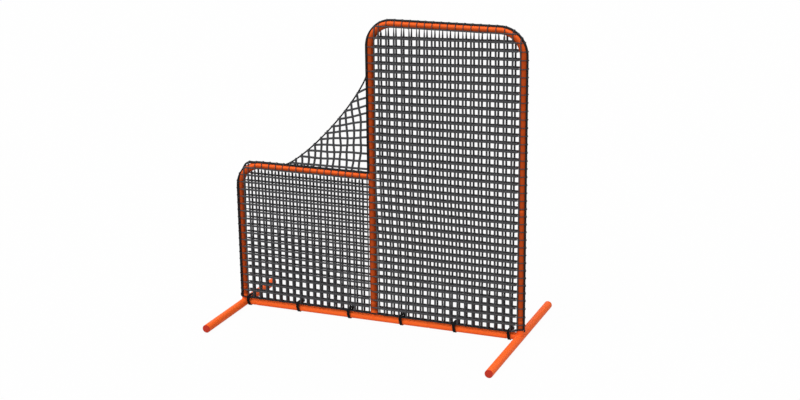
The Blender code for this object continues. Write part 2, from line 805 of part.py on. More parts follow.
make_button("wing_right", mid_upper, wing_bar, Vector((MIDDLE_X - WING_STUB, 0, WING_Z)), -X, -Z)
make_button("top_left", mid_upper, top_bar, Vector((MIDDLE_X + leg, 0, TOP_Z)), X, -Z)
make_button("top_right", right_upper, top_bar, Vector((RIGHT_X - leg, 0, TOP_Z)), -X, -Z)

make_plug("left_front_plug", LEFT_X, -LEFT_FOOT_FRONT, -Y)
make_plug("left_back_plug", LEFT_X, LEFT_FOOT_BACK, Y)
make_plug("right_front_plug", RIGHT_X, -RIGHT_FOOT_REACH, -Y)
make_plug("right_back_plug", RIGHT_X, RIGHT_FOOT_REACH, Y)

make_tall_net()
make_wing_net()
make_web_net()
make_web_rope()
make_hem_rope("hem_rope_front", -1)
make_hem_rope("hem_rope_back", 1)

first_x = LEFT_X + BUNGEE_LEFT_INSET
last_x = RIGHT_X - BUNGEE_RIGHT_INSET
for number, bungee_x in enumerate(between(first_x, last_x, BUNGEE_COUNT - 1)):
    make_bungee(number, bungee_x)
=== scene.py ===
"""Looks of a baseball L screen: powder-coated tube frame, black pillowcase net and ball bungees.

Lengths are in metres in the CAD frame: +Z up, the low wing at -X, the bungee balls at +Y.
"""
import random
from math import atan2, cos, degrees, hypot, pi, radians, sin, sqrt

import bmesh
import bpy
from mathutils import Matrix, Vector


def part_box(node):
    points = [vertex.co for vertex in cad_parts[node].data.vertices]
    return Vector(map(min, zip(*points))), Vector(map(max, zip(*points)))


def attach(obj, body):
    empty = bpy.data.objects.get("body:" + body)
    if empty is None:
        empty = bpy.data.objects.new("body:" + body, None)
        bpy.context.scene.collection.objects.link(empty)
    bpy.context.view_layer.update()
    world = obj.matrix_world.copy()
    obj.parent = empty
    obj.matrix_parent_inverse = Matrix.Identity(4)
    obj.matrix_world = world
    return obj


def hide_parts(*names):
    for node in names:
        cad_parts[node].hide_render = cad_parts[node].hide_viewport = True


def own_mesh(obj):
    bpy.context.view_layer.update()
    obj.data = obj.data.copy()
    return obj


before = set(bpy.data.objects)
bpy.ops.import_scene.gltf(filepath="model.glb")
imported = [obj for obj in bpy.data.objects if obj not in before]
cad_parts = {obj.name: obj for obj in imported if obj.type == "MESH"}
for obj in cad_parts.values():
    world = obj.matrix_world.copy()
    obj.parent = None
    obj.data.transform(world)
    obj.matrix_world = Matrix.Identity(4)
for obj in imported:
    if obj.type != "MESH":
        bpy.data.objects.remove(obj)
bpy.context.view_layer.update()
X, Y, Z = Vector((1, 0, 0)), Vector((0, 1, 0)), Vector((0, 0, 1))


def new_object(name, data):
    """An object in the scene."""
    made = bpy.data.objects.new(name, data)
    bpy.context.scene.collection.objects.link(made)
    return made


# Camera. It stands a little above the screen and to its right, with a long lens, as in the
# photograph. Its place was found from the straight tubes in the 800 by 400 pixel picture.

camera_place = Vector((3.282, -7.818, 3.2707))
camera_turn = radians(-21.84)
camera_drop = radians(16.484)
camera_lean = radians(-0.612)

forward = Vector((sin(camera_turn) * cos(camera_drop),
                  cos(camera_turn) * cos(camera_drop), -sin(camera_drop)))
level = Vector((cos(camera_turn), -sin(camera_turn), 0))
overhead = level.cross(forward)
to_right = level * cos(camera_lean) + overhead * sin(camera_lean)
to_top = overhead * cos(camera_lean) - level * sin(camera_lean)

camera_data = bpy.data.cameras.new("camera")
camera_data.lens = 67.96
camera_data.sensor_width = 36
camera = new_object("camera", camera_data)
camera.matrix_world = (Matrix.Translation(camera_place)
                       @ Matrix((to_right, to_top, -forward)).transposed().to_4x4())
bpy.context.scene.camera = camera


# Studio. A white paper floor and white surroundings, under a strong soft box above the front
# and a weak one above the back. The floor shows white to the camera, with a faint shadow.

def linear(code):
    """An sRGB hex colour as linear values with alpha."""
    shades = [int(code[index:index + 2], 16) / 255 for index in (1, 3, 5)]
    return [s / 12.92 if s <= 0.04045 else ((s + 0.055) / 1.055) ** 2.4 for s in shades] + [1]


def add_node(tree, kind, settings, links=()):
    """Add a node, with its own settings, socket values and (socket, source) links."""
    node = tree.nodes.new(kind)
    for key, value in settings.items():
        if isinstance(key, str) and key in node.bl_rna.properties:
            setattr(node, key, value)
        else:
            node.inputs[key].default_value = value
    for socket, source in links:
        tree.links.new(source, node.inputs[socket])
    return node


def new_material(name, finish):
    """A material, its node tree and its shader, whose sockets hold the finish's values."""
    material = bpy.data.materials.new(name)
    material.use_nodes = True
    surface = material.node_tree.nodes["Principled BSDF"]
    for socket, value in finish.items():
        surface.inputs[socket].default_value = value
    return material, material.node_tree, surface


# The two colours of a node that mixes colours, and what comes out of it.
COLOUR_A, COLOUR_B, MIXED = 6, 7, 2


def noise(tree, size, detail):
    """A noise over the object's own space, with features of about a size."""
    place = add_node(tree, "ShaderNodeTexCoord", {}).outputs["Object"]
    return add_node(tree, "ShaderNodeTexNoise", {"Scale": 1 / size, "Detail": detail},
                    [("Vector", place)]).outputs["Fac"]


def strand_place(tree, turned, along):
    """Texture places on a strand, in units per turn round it and per metre along it."""
    place = add_node(tree, "ShaderNodeTexCoord", {}).outputs["UV"]
    return add_node(tree, "ShaderNodeMapping", {"Scale": (turned, along, 1)},
                    [("Vector", place)]).outputs[0]


def two_tones(tree, first, second, share):
    """A colour between two others."""
    return add_node(tree, "ShaderNodeMix", {"data_type": "RGBA", COLOUR_A: linear(first),
                                            COLOUR_B: linear(second)},
                    [("Factor", share)]).outputs[MIXED]


def rough_by(tree, surface, low, high, share):
    """Let a texture move the roughness between two values."""
    rough = add_node(tree, "ShaderNodeMapRange", {"To Min": low, "To Max": high},
                     [("Value", share)])
    tree.links.new(rough.outputs[0], surface.inputs["Roughness"])


def bump_by(tree, surface, strength, depth, height):
    """Let a texture raise the skin."""
    bump = add_node(tree, "ShaderNodeBump", {"Strength": strength, "Distance": depth},
                    [("Height", height)])
    tree.links.new(bump.outputs[0], surface.inputs["Normal"])


def white_for_the_lens(tree, lit, white):
    """Show one shader to light and another to the camera, mirrors and glass."""
    path = add_node(tree, "ShaderNodeLightPath", {})
    mirror = add_node(tree, "ShaderNodeMath", {"operation": "MAXIMUM"},
                      [(0, path.outputs["Is Camera Ray"]), (1, path.outputs["Is Glossy Ray"])])
    seen = add_node(tree, "ShaderNodeMath", {"operation": "MAXIMUM"},
                    [(0, mirror.outputs[0]), (1, path.outputs["Is Transmission Ray"])])
    return add_node(tree, "ShaderNodeMixShader", {}, [(0, seen.outputs[0]), (1, lit), (2, white)])


FLOOR_REACH = 14
PAPER_GLOW = 0.97
SURROUND = 0.46
SOFT_BOX_SPREAD = radians(65)
SOFT_BOX_ASIDE = radians(-12)

floor_mesh = bpy.data.meshes.new("studio_floor")
floor_mesh.from_pydata([(FLOOR_REACH * x, FLOOR_REACH * y, 0)
                        for x, y in ((-1, -1), (1, -1), (1, 1), (-1, 1))],
                       [], [(0, 1, 2, 3)])
studio_floor = new_object("studio_floor", floor_mesh)

paper, tree, surface = new_material("seamless_paper", {"Base Color": linear("#CACAC8"),
                                                       "Roughness": 0.9})
glow = add_node(tree, "ShaderNodeEmission", {"Color": linear("#FFFFFF"), "Strength": 1.0})
faint = add_node(tree, "ShaderNodeMixShader", {"Fac": PAPER_GLOW},
                 [(1, surface.outputs[0]), (2, glow.outputs[0])])
mixed = white_for_the_lens(tree, surface.outputs[0], faint.outputs[0])
tree.links.new(mixed.outputs[0], tree.nodes["Material Output"].inputs["Surface"])
floor_mesh.materials.append(paper)

world = bpy.data.worlds.new("studio")
bpy.context.scene.world = world
world.use_nodes = True
tree = world.node_tree
tree.nodes.clear()
dim = add_node(tree, "ShaderNodeBackground", {"Color": linear("#FFFFFF"), "Strength": SURROUND})
white = add_node(tree, "ShaderNodeBackground", {"Color": linear("#FFFFFF"), "Strength": 1.0})
mixed = white_for_the_lens(tree, dim.outputs[0], white.outputs[0])
add_node(tree, "ShaderNodeOutputWorld", {}, [("Surface", mixed.outputs[0])])

for name, strength, tilt in (("front_soft_box", 2.5, 30), ("back_soft_box", 0.8, -36)):
    soft_box = bpy.data.lights.new(name, "SUN")
    soft_box.energy = strength
    soft_box.angle = SOFT_BOX_SPREAD
    stand = new_object(name, soft_box)
    stand.rotation_euler = (radians(tilt), SOFT_BOX_ASIDE, 0)
bpy.context.scene.view_settings.view_transform = "Standard"


# Frame tubes. Round steel tube of 1.75 inch and 1.6 mm wall, bent on a former, cut, swaged
# at one end and sprayed with orange powder, which is baked to a smooth satin skin.

# Radii: of the tube, its bends, its swaged end and the stubs that are welded to others.
TUBE = 0.02225
WALL = 0.0016
BEND = 0.135
CLEARANCE = 0.0004
SWAGED = TUBE - WALL - CLEARANCE
STUB = TUBE - CLEARANCE
# Lengths along the tube: past a bend, down the die's taper, to the rim and to the nose.
CORNER_LEG = 0.060
TAPER = 0.008
NECK = 0.012
NOSE = 0.072
RIM_EASE = 0.0004
# How finely a tube is drawn.
ROUND_SIDES = 48
BEND_STEPS = 20
TAPER_STEPS = 6
RING_STEP = 0.030
SHARP_EDGE = 35
# How far the rounded end of a strand stands out, as a share of its radius.
TIP = 0.6


def middle(node):
    """The centre of a CAD node's box."""
    low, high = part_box(node)
    return (low + high) / 2


def smooth(low, high, value):
    """0 at low and 1 at high, eased at both."""
    share = min(max((value - low) / (high - low), 0), 1)
    return share * share * (3 - 2 * share)


LEFT = middle("left_front_plug").x
MIDDLE = middle("mid_lower_tube").x
RIGHT = middle("right_lower_tube").x
FOOT_Z = middle("left_front_plug").z
BAR_Z = middle("bottom_bar_right").z
WING_Z = middle("wing_bar").z
TOP_Z = middle("top_bar").z

powder_coat, tree, surface = new_material("orange_powder_coat", {"Specular IOR Level": 0.07})
# Baked powder flows out unevenly, so its colour drifts a little over a hand's width.
drift = noise(tree, 0.09, 3)
tint = two_tones(tree, "#F86325", "#FF6D2A", drift)
# Above the hem, 70 to 84 mm up, the coat is painted a deep rust orange as painted shade of the net
# over the tubes. The upper side of the bars keeps less of it, as painted light from above.
place = add_node(tree, "ShaderNodeTexCoord", {}).outputs["Object"]
height = add_node(tree, "ShaderNodeSeparateXYZ", {}, [("Vector", place)])
# Height band where the painted net shade begins above the hem.
net_shade_band = add_node(tree, "ShaderNodeMapRange",
                     {"interpolation_type": "SMOOTHSTEP", "From Min": 0.070, "From Max": 0.084},
                     [("Value", height.outputs["Z"])])
lie_of_skin = add_node(tree, "ShaderNodeNewGeometry", {})
upward = add_node(tree, "ShaderNodeSeparateXYZ", {}, [("Vector", lie_of_skin.outputs["Normal"])])
# Painted light from above: the more a face turns upward, the less painted shade it keeps.
top_lit_fade = add_node(tree, "ShaderNodeMapRange", {"From Min": 0.0, "From Max": 0.5,
                                               "To Min": 1.0, "To Max": 0.10},
                  [("Value", upward.outputs["Z"])])
painted_net_shade = add_node(tree, "ShaderNodeMath", {"operation": "MULTIPLY"},
                  [(0, net_shade_band.outputs[0]), (1, top_lit_fade.outputs[0])])
# The painted net shade mixes the orange towards a dark rust orange.
coat = add_node(tree, "ShaderNodeMix", {"data_type": "RGBA", COLOUR_B: linear("#B04415")},
                [("Factor", painted_net_shade.outputs[0]), (COLOUR_A, tint)])
tree.links.new(coat.outputs[MIXED], surface.inputs["Base Color"])
# Satin gloss with the fine orange-peel skin of powder, about 1.6 mm from crest to crest.
rough_by(tree, surface, 0.46, 0.56, drift)
bump_by(tree, surface, 0.06, 0.0003, noise(tree, 0.0016, 1))


class Piece:
    """Points, faces and texture places of one mesh that is built up from rings."""

    def __init__(self):
        self.points = []
        self.faces = []
        self.places = []

    def ring(self, centre, side, across, radius, sides, along=0.0):
        """A ring of points about a centre; gives their numbers."""
        first = len(self.points)
        for index in range(sides):
            turn = (index + 0.5) * 2 * pi / sides
            offset = side * cos(turn) + across * sin(turn)
            self.points.append(centre + offset * radius)
            self.places.append((index / sides, along))
        return list(range(first, first + sides))

    def skin(self, rings, closed=False):
        """Faces from each ring to the next, and from the last to the first where closed."""
        pairs = list(zip(rings, rings[1:]))
        if closed:
            pairs.append((rings[-1], rings[0]))
        for here, there in pairs:
            count = len(here)
            for index in range(count):
                after = (index + 1) % count
                self.faces.append((here[index], here[after], there[after], there[index]))

    def cap(self, ring, centre, at_start):
        """Close an end ring with a fan about a centre point."""
        self.points.append(centre)
        self.places.append((0.5, self.places[ring[0]][1]))
        tip = len(self.points) - 1
        for index in range(len(ring)):
            pair = (ring[index], ring[(index + 1) % len(ring)])
            self.faces.append((*pair[::-1], tip) if at_start else (*pair, tip))

    def sweep(self, path, radii, sides, closed=False):
        """A round strand along a path; its ends are rounded off unless it is closed."""
        count = len(path)
        if not isinstance(radii, list):
            radii = [radii] * count
        steps = [path[(index + 1) % count] - path[index] for index in range(count)]
        if not closed:
            steps[-1] = steps[-2]
        heading = steps[0].normalized()
        side = heading.cross(Y if abs(heading.y) < 0.9 else X).normalized()
        rings, run = [], 0.0
        for index, point in enumerate(path):
            before = steps[index - 1] if index or closed else steps[0]
            turned = (before.normalized() + steps[index].normalized()).normalized()
            side = heading.rotation_difference(turned) @ side
            side = (side - turned * side.dot(turned)).normalized()
            heading = turned
            rings.append(self.ring(point, side, heading.cross(side), radii[index], sides, run))
            run += steps[index].length
        self.skin(rings, closed)
        if not closed:
            bulge = radii[0] * TIP
            self.cap(rings[0], path[0] - steps[0].normalized() * bulge, True)
            self.cap(rings[-1], path[-1] + steps[-2].normalized() * bulge, False)

    def build(self, name, material, body, replaced, smooth_angle=SHARP_EDGE):
        """Make the object, let it ride on a body and stand for CAD nodes."""
        data = bpy.data.meshes.new(name)
        data.from_pydata([tuple(point) for point in self.points], [], self.faces)
        corners = data.uv_layers.new(name="along")
        for face in data.polygons:
            spots = [self.places[data.loops[index].vertex_index] for index in face.loop_indices]
            # A face across the strand's seam takes the texture on past one whole turn.
            past_seam = max(spots)[0] - min(spots)[0] > 0.6
            for index, (round_it, along) in zip(face.loop_indices, spots):
                turn = round_it + (1 if past_seam and round_it < 0.4 else 0)
                corners.data[index].uv = (turn, along)
        shape = bmesh.new()
        shape.from_mesh(data)
        bmesh.ops.recalc_face_normals(shape, faces=shape.faces)
        shape.to_mesh(data)
        shape.free()
        data.materials.append(material)
        data.shade_smooth()
        data.set_sharp_from_angle(angle=radians(smooth_angle))
        made = new_object(name, data)
        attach(made, body)
        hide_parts(*replaced)
        return made


def run_between(start, end):
    """Centres of rings along a straight run, no further apart than the ring step."""
    count = max(1, round((end - start).length / RING_STEP))
    return [start.lerp(end, index / count) for index in range(count + 1)]


def round_corner(corner, before, after):
    """Ring centres and headings round a bend."""
    centre = corner - before * BEND + after * BEND
    stations = []
    for index in range(BEND_STEPS + 1):
        turn = index / BEND_STEPS * pi / 2
        stations.append((centre - after * BEND * cos(turn) + before * BEND * sin(turn),
                         before * cos(turn) + after * sin(turn)))
    return stations


def plain(start, end, outer=TUBE):
    """Stations of a straight length: centre, heading, outer radius and bore."""
    heading = (end - start).normalized()
    return [(point, heading, outer, outer - WALL) for point in run_between(start, end)]


def bent(corner, before, after):
    """Stations of a bend."""
    return [(point, heading, TUBE, TUBE - WALL)
            for point, heading in round_corner(corner, before, after)]


def swaged(shoulder, heading, outer=TUBE):
    """The end that the swaging die has drawn down, from its shoulder to its nose."""
    stations = []
    for index in range(TAPER_STEPS + 1):
        share = index / TAPER_STEPS
        radius = outer + (SWAGED - outer) * smooth(0, 1, share)
        stations.append((shoulder + heading * TAPER * share, heading, radius, radius - WALL))
    for point in run_between(shoulder + heading * TAPER, shoulder + heading * NOSE)[1:]:
        stations.append((point, heading, SWAGED, SWAGED - WALL))
    return stations


def add_tube(piece, stations, side):
    """A tube with its bore and eased rims."""
    first, last = stations[0], stations[-1]
    outer = [(first[0], first[1], first[2] - RIM_EASE)]
    outer += [(point + heading * (RIM_EASE if index == 0 else 0), heading, radius)
              for index, (point, heading, radius, _) in enumerate(stations[:-1])]
    outer += [(last[0] - last[1] * RIM_EASE, last[1], last[2]),
              (last[0], last[1], last[2] - RIM_EASE)]
    inner = [(point, heading, bore) for point, heading, _, bore in stations[::-1]]
    piece.skin([piece.ring(point, side, heading.cross(side), radius, ROUND_SIDES)
                for point, heading, radius in outer + inner], closed=True)


def make_tube(node, stations):
    """A frame tube that stands for one CAD node."""
    piece = Piece()
    add_tube(piece, stations, Y)
    return piece.build(node + "_tube", powder_coat, "frame", [node])


# Weld beads. Each stub is welded to its tube all round before the powder goes on, so the
# bead shows its ripples under the same orange skin.

BEAD = 0.0024
BEAD_RIPPLES = 34
RIPPLE_DEPTH = 0.14
BEAD_STEPS = 136
BEAD_SIDES = 8
# Stubs reach this far up and along from the line of their tube, and start inside its skin.
UPRIGHT_STUB = 0.098
BAR_STUB = 0.070
BURIED = TUBE * 0.45


def beyond_axis(radius, offset):
    """How far a round tube's skin stands out from its axis, at an offset across it."""
    return sqrt(max(radius ** 2 - offset ** 2, 0))


def add_bead(piece, root, out, side, height):
    """A rippled bead round a stub, at the height where the stub leaves what carries it."""
    across = out.cross(side)
    path, radii = [], []
    for index in range(BEAD_STEPS):
        turn = index / BEAD_STEPS * 2 * pi
        flat = side * cos(turn) + across * sin(turn)
        path.append(root + flat * STUB + out * height(flat * STUB))
        radii.append(BEAD * (1 + RIPPLE_DEPTH * sin(BEAD_RIPPLES * turn)))
    piece.sweep(path, radii, BEAD_SIDES, closed=True)


def add_stub(piece, root, shoulder, heading):
    """A stub from inside its tube to its swaged nose."""
    start = root + heading * BURIED
    stations = [(point, heading, STUB, STUB - WALL) for point in run_between(start, shoulder)]
    add_tube(piece, stations[:-1] + swaged(shoulder, heading, STUB), Y)


def over_tube(offset):
    return beyond_axis(TUBE, offset.y)


# Feet. A long tube with an upright stub and a bar stub welded at its crossing. A small
# vent hole beside the welds let the cleaning bath drain before coating.

FOOT = 0.0240
foot_ends = {side_name: [corner.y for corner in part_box(side_name + "_foot")]
             for side_name in ("left", "right")}


def make_foot(name, x, front, back, inward):
    """A foot with its two stubs, and beads where they leave the foot and each other."""
    piece = Piece()
    add_tube(piece, plain(Vector((x, front, FOOT_Z)), Vector((x, back, FOOT_Z)), FOOT), X)
    root = Vector((x, 0, FOOT_Z))
    bar_root = Vector((x, 0, BAR_Z))
    rise = BAR_Z - FOOT_Z
    add_stub(piece, root, root + Z * UPRIGHT_STUB, Z)
    add_stub(piece, bar_root, bar_root + inward * BAR_STUB, inward)

    def over_foot(offset):
        beside = rise + beyond_axis(STUB, offset.y) if offset.dot(inward) > 0 else 0
        return max(beyond_axis(FOOT, offset.x), beside)

    def beside_foot(offset):
        up = offset.z + rise
        on_upright = beyond_axis(STUB, offset.y) if up > 0 else 0
        return max(beyond_axis(FOOT, up), on_upright)

    add_bead(piece, root, Z, Y, over_foot)
    add_bead(piece, bar_root, inward, Y, beside_foot)
    return piece.build(name + "_tube", powder_coat, "frame", [name])


left_foot = make_foot("left_foot", LEFT, *foot_ends["left"], X)
right_foot = make_foot("right_foot", RIGHT, *foot_ends["right"], -X)


# Bottom bar. Two lengths that slip together right of the middle upright; the left one has
# a welded stub that the middle upright stands on.

piece = Piece()
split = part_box("bottom_bar_right")[0].x
shoulder = Vector((split - NECK, 0, BAR_Z))
start = Vector((LEFT + BAR_STUB + NECK, 0, BAR_Z))
add_tube(piece, plain(start, shoulder)[:-1] + swaged(shoulder, X), Y)
crossing = Vector((MIDDLE, 0, BAR_Z))
add_stub(piece, crossing, Vector((MIDDLE, 0, FOOT_Z + UPRIGHT_STUB)), Z)
add_bead(piece, crossing, Z, Y, over_tube)
bottom_bar_left = piece.build("bottom_bar_left_tube", powder_coat, "frame", ["bottom_bar_left"])


def make_bar(node):
    """A plain length of tube between the ends of its CAD node."""
    low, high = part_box(node)
    reach = X * (high.x - low.x) / 2
    return make_tube(node, plain(middle(node) - reach, middle(node) + reach))


bottom_bar_right = make_bar("bottom_bar_right")
wing_bar = make_bar("wing_bar")
top_bar = make_bar("top_bar")


# Uprights. The lower lengths are swaged at the top; the upper ones are bent over into the
# bars, and the middle one carries a welded stub for the wing bar.

UPPER_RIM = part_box("right_upper_tube")[0].z
LOWER_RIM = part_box("right_lower_tube")[0].z


def make_lower(node, x):
    """A lower length, swaged at the top."""
    shoulder = Vector((x, 0, UPPER_RIM - NECK))
    return make_tube(node, plain(Vector((x, 0, LOWER_RIM)), shoulder)[:-1] + swaged(shoulder, Z))


def corner_stations(x, low, high, after):
    """A length that rises, bends over and ends in a swage."""
    start, corner = Vector((x, 0, low)), Vector((x, 0, high))
    shoulder = corner + after * (BEND + CORNER_LEG)
    return (plain(start, corner - Z * BEND)[:-1] + bent(corner, Z, after)[:-1]
            + plain(corner + after * BEND, shoulder)[:-1] + swaged(shoulder, after))


mid_lower = make_lower("mid_lower_tube", MIDDLE)
right_lower = make_lower("right_lower_tube", RIGHT)
left_corner = make_tube("left_corner_tube", corner_stations(LEFT, LOWER_RIM, WING_Z, X))
right_upper = make_tube("right_upper_tube", corner_stations(RIGHT, UPPER_RIM, TOP_Z, -X))

piece = Piece()
add_tube(piece, corner_stations(MIDDLE, UPPER_RIM, TOP_Z, X), Y)
wing_root = Vector((MIDDLE, 0, WING_Z))
add_stub(piece, wing_root, wing_root - X * BAR_STUB, -X)
add_bead(piece, wing_root, -X, Y, over_tube)
mid_upper = piece.build("mid_upper_tube_tube", powder_coat, "frame", ["mid_upper_tube"])


# Spring buttons. A turned and zinc-plated steel button comes up through both tube walls of
# each slip joint, pushed by a bent leaf of spring steel inside.

# Radii of the button, its flange and its hole, and of the feet's vent hole.
BUTTON = 0.0040
FLANGE = 0.0055
BUTTON_HOLE = 0.0043
VENT = 0.0030
# Heights: of the crown above the tube, of its dome and of the flange; and the broken edges.
BUTTON_PROUD = 0.0040
BUTTON_DOME = 0.0016
FLANGE_HEIGHT = 0.0020
BROKEN_EDGE = 0.0003
SWAGED_BORE = SWAGED - WALL
FLANGE_TOP = sqrt(SWAGED_BORE ** 2 - FLANGE ** 2) - 0.0003
DOME_STEPS = 8
BUTTON_SIDES = 32
HOLE_SIDES = 24

# Each joint: its tubes' heading, the side that its button is on, its inner and outer tube.
joints = {
    "left_bar": (X, Y, left_foot, bottom_bar_left),
    "bar_split": (X, Y, bottom_bar_left, bottom_bar_right),
    "right_bar": (-X, Y, right_foot, bottom_bar_right),
    "left_upright": (Z, X, left_foot, left_corner),
    "mid_upright": (Z, X, bottom_bar_left, mid_lower),
    "right_upright": (Z, -X, right_foot, right_lower),
    "mid_split": (Z, X, mid_lower, mid_upper),
    "right_split": (Z, -X, right_lower, right_upper),
    "wing_left": (X, -Z, left_corner, wing_bar),
    "wing_right": (-X, -Z, mid_upper, wing_bar),
    "top_left": (X, -Z, mid_upper, top_bar),
    "top_right": (-X, -Z, right_upper, top_bar),
}

zinc, tree, surface = new_material("bright_zinc_plate", {"Base Color": linear("#C4C5C2"),
                                                         "Metallic": 1.0})
# Lathe marks under the plating, drawn at 0.5 mm so that they can show.
rough_by(tree, surface, 0.22, 0.38, noise(tree, 0.0005, 2))

spring_steel, tree, surface = new_material("blued_spring_steel", {"Metallic": 1.0,
                                                                  "Roughness": 0.34})
# Tempering leaves the strip blue-grey in patches of a few millimetres.
blued = two_tones(tree, "#6E7482", "#8A8884", noise(tree, 0.006, 2))
tree.links.new(blued, surface.inputs["Base Color"])


def button_origin(name, outward):
    """The point on the tubes' axis that a button comes out from."""
    low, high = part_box(name + "_button")
    centre = (low + high) / 2
    crown = max(low.dot(outward), high.dot(outward))
    return centre + outward * (crown - BUTTON_PROUD - TUBE - centre.dot(outward))


def add_turned(piece, origin, outward, side, profile, sides):
    """A solid turned about an outward line, from (radius, height) pairs."""
    across = outward.cross(side)
    rings = [piece.ring(origin + outward * height, side, across, radius, sides)
             for radius, height in profile]
    piece.skin(rings)
    piece.cap(rings[0], origin + outward * profile[0][1], True)
    piece.cap(rings[-1], origin + outward * profile[-1][1], False)


def drill_holes(tube, places):
    """Cut the holes of one tube with one set of round cutters."""
    cutters = Piece()
    for origin, outward, side, radius in places:
        add_turned(cutters, origin, outward, side, [(radius, 0), (radius, TUBE * 1.5)],
                   HOLE_SIDES)
    data = bpy.data.meshes.new("cutters")
    data.from_pydata([tuple(point) for point in cutters.points], [], cutters.faces)
    tool = new_object("cutters", data)
    drill = tube.modifiers.new("drill", "BOOLEAN")
    drill.operation = "DIFFERENCE"
    drill.solver = "EXACT"
    drill.use_self = True
    drill.object = tool
    graph = bpy.context.evaluated_depsgraph_get()
    drilled = bpy.data.meshes.new_from_object(tube.evaluated_get(graph))
    tube.modifiers.clear()
    tube.data = drilled
    tube.data.shade_smooth()
    tube.data.set_sharp_from_angle(angle=radians(SHARP_EDGE))
    bpy.data.objects.remove(tool, do_unlink=True)


holes = {}
for name, (heading, outward, inner_tube, outer_tube) in joints.items():
    origin = button_origin(name, outward)
    for tube in (inner_tube, outer_tube):
        holes.setdefault(tube.name, []).append((origin, outward, heading, BUTTON_HOLE))
for foot, x, inward in ((left_foot, LEFT, X), (right_foot, RIGHT, -X)):
    vent = Vector((x, -(TUBE + VENT + WALL), FOOT_Z))
    holes[foot.name].append((vent, (Z - inward).normalized(), Y, VENT))
for tube_name, places in holes.items():
    drill_holes(bpy.data.objects[tube_name], places)

# Leaf spring: thickness, width, lengths from the button to its bend, toe and heel, and bend.
SPRING = 0.0008
SPRING_WIDTH = 0.0054
SPRING_REACH = 0.030
SPRING_TOE = 0.007
SPRING_HEEL = 0.010
SPRING_BEND = 0.0060
SPRING_BEND_STEPS = 12
OFF_THE_BORE = 0.0010

for name, (heading, outward, *_) in joints.items():
    origin = button_origin(name, outward)
    crown = TUBE + BUTTON_PROUD
    flange_base = FLANGE_TOP - FLANGE_HEIGHT
    profile = [(FLANGE - BROKEN_EDGE, flange_base), (FLANGE, flange_base + BROKEN_EDGE),
               (FLANGE, FLANGE_TOP - BROKEN_EDGE), (FLANGE - BROKEN_EDGE, FLANGE_TOP),
               (BUTTON, FLANGE_TOP)]
    for step in range(DOME_STEPS):
        turn = step / DOME_STEPS * pi / 2
        profile.append((BUTTON * cos(turn), crown - BUTTON_DOME * (1 - sin(turn))))
    piece = Piece()
    add_turned(piece, origin, outward, heading, profile, BUTTON_SIDES)
    piece.build(name + "_turned_button", zinc, name + "_button", [name + "_button"])

    upper = flange_base - SPRING * 0.75
    lower = OFF_THE_BORE - SWAGED_BORE
    path = [(SPRING_TOE, upper), (-BUTTON, upper)]
    for step in range(SPRING_BEND_STEPS + 1):
        turn = pi / 2 + step / SPRING_BEND_STEPS * pi
        path.append((SPRING_BEND - SPRING_REACH + SPRING_BEND * cos(turn), SPRING_BEND * sin(turn)))
    path += [(-BUTTON, lower), (SPRING_HEEL, lower)]
    width = heading.cross(outward)
    piece = Piece()
    rings = []
    for index, (along, out) in enumerate(path):
        before = path[max(index - 1, 0)]
        after = path[min(index + 1, len(path) - 1)]
        slope = Vector((after[0] - before[0], after[1] - before[1])).normalized()
        square = (outward * slope.x - heading * slope.y) * SPRING / 2
        centre = origin + heading * along + outward * out
        first = len(piece.points)
        for wide, thick in ((1, 1), (-1, 1), (-1, -1), (1, -1)):
            piece.points.append(centre + width * SPRING_WIDTH / 2 * wide + square * thick)
            piece.places.append((0, along))
        rings.append(list(range(first, first + 4)))
    piece.skin(rings)
    for ring, at_start in ((rings[0], True), (rings[-1], False)):
        piece.cap(ring, (piece.points[ring[0]] + piece.points[ring[2]]) / 2, at_start)
    leaf = piece.build(name + "_leaf_spring", spring_steel, "frame", [name + "_spring"])
    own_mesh(leaf)


# End plugs. Moulded polyethylene caps pushed into the ends of the feet, with a low crowned
# face, in a darker red than the paint.

PLUG_BARREL = 0.018
PLUG_FACE = 0.0028
PLUG_CROWN = 0.0012
PLUG_LEAD = 0.001
PLUG_SEAT = 0.0002
PLUG_RIM = 0.0005
PLUG_EDGE = 0.0008

plug_plastic, tree, surface = new_material(
    "moulded_polyethylene_red", {"Roughness": 0.48, "IOR": 1.51, "Specular IOR Level": 0.2})
# Low-density polyethylene is waxy, with a faint cloud of scuffs a few millimetres wide.
scuffs = noise(tree, 0.004, 4)
tree.links.new(two_tones(tree, "#B22A16", "#BE321C", scuffs), surface.inputs["Base Color"])
bump_by(tree, surface, 0.1, 0.0003, scuffs)

for side_name, x in (("left", LEFT), ("right", RIGHT)):
    for end_name, y, outward in (("front", foot_ends[side_name][0], -Y),
                                 ("back", foot_ends[side_name][1], Y)):
        node = "%s_%s_plug" % (side_name, end_name)
        barrel = FOOT - WALL - CLEARANCE
        crown = [(FOOT * share, PLUG_FACE + PLUG_CROWN * (1 - share ** 2))
                 for share in (0.93, 0.8, 0.6, 0.4, 0.2, 0.05)]
        profile = [(barrel - PLUG_LEAD, -PLUG_BARREL), (barrel, PLUG_LEAD - PLUG_BARREL),
                   (barrel, PLUG_SEAT), (FOOT - PLUG_RIM, PLUG_SEAT), (FOOT, PLUG_SEAT + PLUG_RIM),
                   (FOOT, PLUG_FACE - PLUG_EDGE),
                   (FOOT - PLUG_EDGE / 2, PLUG_FACE - PLUG_EDGE / 4)] + crown
        piece = Piece()
        add_turned(piece, Vector((x, y, FOOT_Z)), outward, X, profile, ROUND_SIDES)
        piece.build(node + "_cap", plug_plastic, "frame", [node])


# Netting. Black knotless nylon twine in a square mesh of 1 7/8 inch, dipped stiff. A front and
# a back sheet lie over the tubes, pulled thin where they bend round them, and meet outside.

# Radii of the twine. The real one is about 3 mm thick. It is drawn nearly four times as
# thick, as that gives the net its tone in a picture of this size.
TWINE = 0.0058
STRETCHED = 0.0023
RIM_RADIUS = 0.0040
